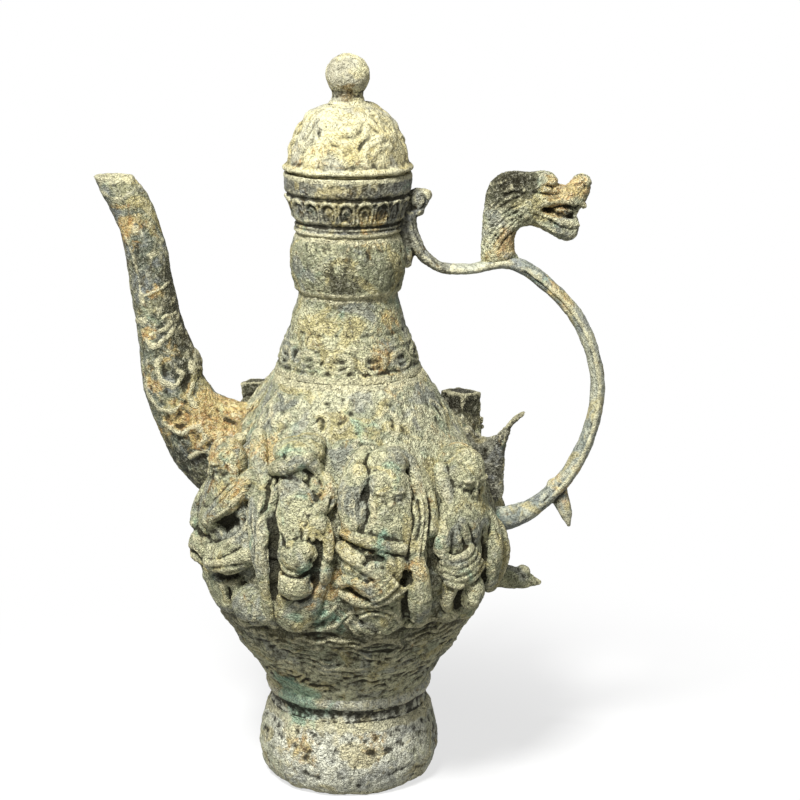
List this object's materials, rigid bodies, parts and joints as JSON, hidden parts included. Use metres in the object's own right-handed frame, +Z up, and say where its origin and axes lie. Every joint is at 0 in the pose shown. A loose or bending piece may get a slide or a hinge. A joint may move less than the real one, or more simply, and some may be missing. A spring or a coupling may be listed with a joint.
{
  "type": "bronze wine ewer",
  "caption": "Pear-shaped bronze wine ewer on a drum foot, with a curved spout, dragon-headed strap handle, elders in relief round the belly and a loose domed lid.",
  "frame": {"origin": "on the vessel's axis, in the plane that the foot stands on", "axes": "+Z up along the vessel's axis; the handle is on +X, the spout on -X, and the front on -Y"},
  "size_m": [0.2229, 0.1515, 0.323],
  "materials": {
    "patina_bronze": "matte grey-green patina with pale ochre high points",
    "dark_patina_bronze": "matte dark grey-green patina, pitted",
    "pale_patina_bronze": "matte pale cream-yellow patina",
    "earthy_patina_bronze": "matte patina with patches of ochre earth"
  },
  "bodies": {
    "vessel": {"foot_ring": "patina_bronze", "foot_collar": "dark_patina_bronze", "belly": "patina_bronze", "neck": "patina_bronze", "neck_bulb": "patina_bronze", "mouth_cup": "dark_patina_bronze", "spout_tube": "dark_patina_bronze", "spout_root": "earthy_patina_bronze", "handle_strap": "dark_patina_bronze", "cup_bracket": "dark_patina_bronze", "dragon_head": "patina_bronze", "handle_fin": "dark_patina_bronze", "tail_spur": "dark_patina_bronze", "relief_elder_1": "patina_bronze", "relief_elder_2": "patina_bronze", "relief_elder_3": "patina_bronze", "relief_elder_4": "patina_bronze", "relief_elder_5": "patina_bronze", "relief_elder_6": "patina_bronze", "relief_elder_7": "patina_bronze", "relief_elder_8": "patina_bronze"},
    "lid": {"lid": "pale_patina_bronze", "lid_knob": "pale_patina_bronze"}
  },
  "joints": [
    {"name": "lid_lift", "type": "slide", "parent": "vessel", "child": "lid", "axis": [0, 0, 1], "range_m": [0, 0.06]}
  ]
}
